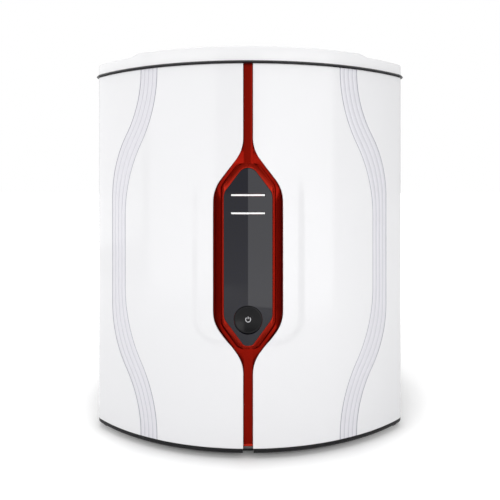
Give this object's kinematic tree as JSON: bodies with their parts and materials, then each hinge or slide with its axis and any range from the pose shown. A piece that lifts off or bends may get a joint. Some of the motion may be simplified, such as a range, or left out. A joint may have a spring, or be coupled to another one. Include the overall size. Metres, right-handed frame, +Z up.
{
  "type": "ultrapure water system",
  "caption": "Bench-top water purifier with bowed double doors, a central red console with a dark window and power button, purification packs inside and tube ports behind.",
  "frame": {"origin": "on the bench under the middle of the cabinet, half way between the front of the top frame and the rear faces of the tube ports", "axes": "+Z up, -Y towards the person in front of the doors, +X to that person's right"},
  "size_m": [0.368, 0.376, 0.435],
  "materials": {
    "white_shell": "glossy moulded white",
    "white_panel": "satin white powder coat",
    "dark_trim": "satin charcoal",
    "red_gloss": "deep red gloss",
    "dark_window": "smoked gloss",
    "light_guide": "milky white",
    "button_black": "gloss black",
    "symbol_grey": "light grey inlay",
    "steel": "brushed stainless",
    "plated_sheet": "plain plated sheet",
    "magnet_black": "moulded magnet case",
    "bush_polymer": "natural acetal",
    "pack_white": "blow-moulded satin white",
    "pack_blue": "blue cap",
    "head_grey": "moulded grey",
    "lever_blue": "moulded blue",
    "board_green": "solder mask green",
    "display_black": "display glass and frame",
    "pump_black": "black enamel",
    "tube_white": "natural polyethylene",
    "port_grey": "acetal grey",
    "inlet_black": "moulded black",
    "rubber": "matt rubber"
  },
  "bodies": {
    "cabinet": {"base_tray": "dark_trim", "rubber_feet": "rubber", "left_side_panel": "white_panel", "right_side_panel": "white_panel", "back_panel": "white_panel", "top_frame": "dark_trim", "lid": "white_shell", "bulkhead": "plated_sheet", "spine_column": "head_grey", "spine_moulding": "red_gloss", "console_bezel": "red_gloss", "console_lens": "dark_window", "status_bars": "light_guide", "display_module": "display_black", "console_board": "board_green", "button_switch": "inlet_black", "hinge_bushes": "bush_polymer", "catch_magnets": "magnet_black", "uv_lamp_housing": "steel", "uv_end_caps": "head_grey", "uv_clamps": "head_grey", "pump_motor": "pump_black", "pump_head": "head_grey", "pump_bracket": "plated_sheet", "pressure_regulator": "head_grey", "drain_valve": "inlet_black", "quality_cell": "steel", "power_supply": "plated_sheet", "control_board": "board_green", "board_posts": "plated_sheet", "feed_tube": "tube_white", "suction_tube": "tube_white", "pump_tube": "tube_white", "product_tube": "tube_white", "feed_port": "port_grey", "drain_port": "port_grey", "product_port": "port_grey", "mains_inlet": "inlet_black", "left_pack_cradle": "head_grey", "left_pack_body": "pack_white", "left_pack_cap": "pack_blue", "left_manifold": "head_grey", "right_pack_cradle": "head_grey", "right_pack_body": "pack_white", "right_pack_cap": "pack_blue", "right_manifold": "head_grey"},
    "left_door": {"left_door_shell": "white_shell", "left_door_liner": "dark_trim", "left_hinge_pins": "steel", "left_strike_plates": "steel"},
    "right_door": {"right_door_shell": "white_shell", "right_door_liner": "dark_trim", "right_hinge_pins": "steel", "right_strike_plates": "steel"},
    "button": {"power_button": "button_black", "power_symbol": "symbol_grey"},
    "left_lever": {"left_lock_lever": "lever_blue"},
    "right_lever": {"right_lock_lever": "lever_blue"}
  },
  "joints": [
    {"name": "left_door_hinge", "type": "hinge", "parent": "cabinet", "child": "left_door", "pos_m": [-0.1656, -0.1048, 0.2133], "axis": [0, 0, -1], "range_deg": [0, 110]},
    {"name": "right_door_hinge", "type": "hinge", "parent": "cabinet", "child": "right_door", "pos_m": [0.1656, -0.1048, 0.2133], "axis": [0, 0, 1], "range_deg": [0, 110]},
    {"name": "left_lever_pivot", "type": "hinge", "parent": "cabinet", "child": "left_lever", "pos_m": [-0.098, -0.08617, 0.352], "axis": [-1, 0, 0], "range_deg": [0, 75]},
    {"name": "right_lever_pivot", "type": "hinge", "parent": "cabinet", "child": "right_lever", "pos_m": [0.098, -0.08617, 0.352], "axis": [-1, 0, 0], "range_deg": [0, 75]},
    {"name": "power_button_press", "type": "slide", "parent": "cabinet", "child": "button", "axis": [0, 1, 0], "range_m": [0, 0.0012], "stiffness_N_per_m": 1500, "springref_m": -0.0005}
  ]
}
